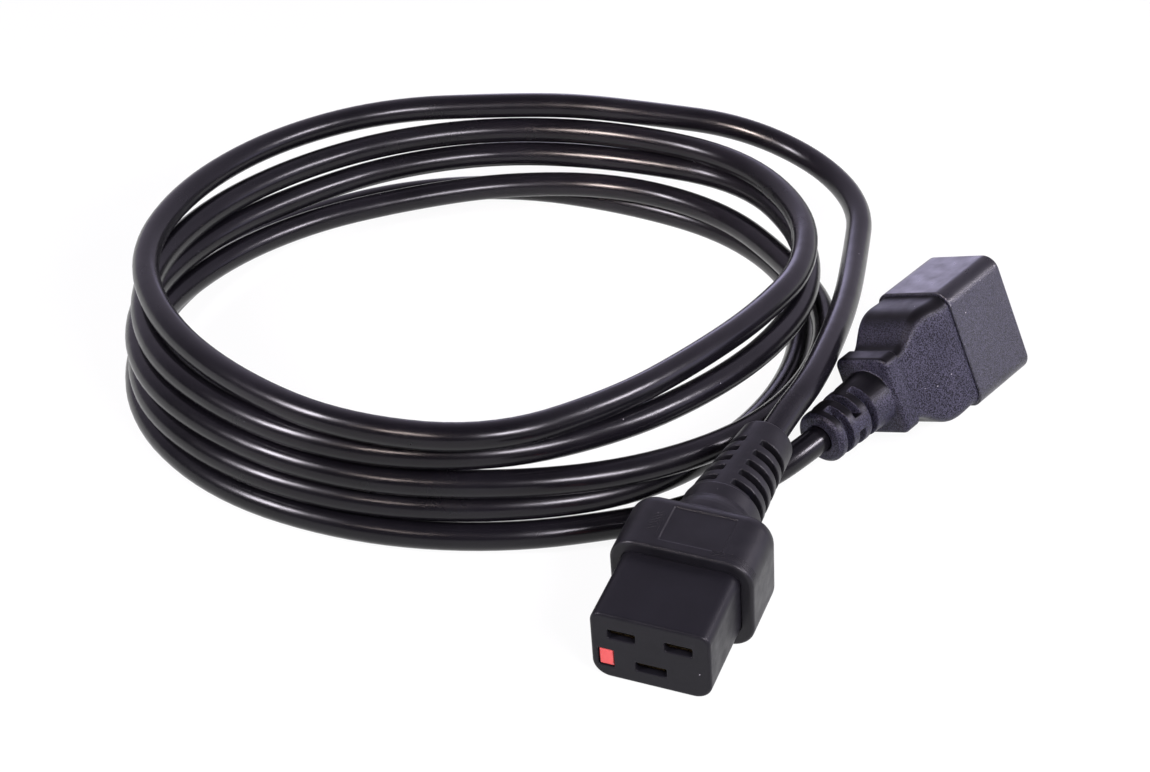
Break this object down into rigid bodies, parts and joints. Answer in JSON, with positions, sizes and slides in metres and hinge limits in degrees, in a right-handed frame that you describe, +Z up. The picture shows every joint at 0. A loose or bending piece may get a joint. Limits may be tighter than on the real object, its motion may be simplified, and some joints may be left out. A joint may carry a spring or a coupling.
{
  "type": "locking c19 power connector",
  "caption": "Locking C19 power connector on a coiled black lead with a C20 plug: slotted nose, red lock slide, ribbed strain reliefs, loose round coil.",
  "frame": {"origin": "under the middle of the C19 connector's box, on the surface that the lead lies on", "axes": "-Y is where the C19 nose faces (it dips 9.2 degrees below the horizontal), +X is to the right of someone who looks along +Y at the mating face, +Z is up"},
  "size_m": [0.2457, 0.2424, 0.0407],
  "materials": {
    "moulded_black": "satin, fine moulded grain",
    "soft_black": "soft satin PVC",
    "shroud_black": "spark-eroded grain",
    "plug_soft_black": "spark-eroded grain, soft PVC",
    "cord_black": "glossy extruded PVC sheath",
    "lock_red": "satin",
    "lock_steel": "bright spring steel",
    "contact_brass": "bright",
    "pin_nickel": "nickel plated, satin",
    "core_brown": "extruded insulation",
    "core_blue": "extruded insulation",
    "core_green_yellow": "extruded insulation"
  },
  "bodies": {
    "lead": {"carrier_cap": "moulded_black", "connector_overmould": "soft_black", "contact_carrier": "moulded_black", "cord_coil": "cord_black", "cord_run_connector": "cord_black", "cord_run_plug": "cord_black", "earth_contact": "contact_brass", "earth_core": "core_green_yellow", "line_contact": "contact_brass", "line_core": "core_brown", "lock_spring": "lock_steel", "neutral_contact": "contact_brass", "neutral_core": "core_blue", "plug_carrier": "shroud_black", "plug_earth_core": "core_green_yellow", "plug_earth_pin": "pin_nickel", "plug_line_core": "core_brown", "plug_line_pin": "pin_nickel", "plug_neutral_core": "core_blue", "plug_neutral_pin": "pin_nickel", "plug_overmould": "plug_soft_black"},
    "lock": {"lock_slide": "lock_red", "lock_jaw": "lock_steel"}
  },
  "joints": [
    {"name": "lock_release", "type": "slide", "parent": "lead", "child": "lock", "axis": [0, 0.9871, 0.1599], "range_m": [0, 0.0025], "stiffness_N_per_m": 600, "springref_m": -0.001, "deforming": ["lock_spring"]}
  ]
}
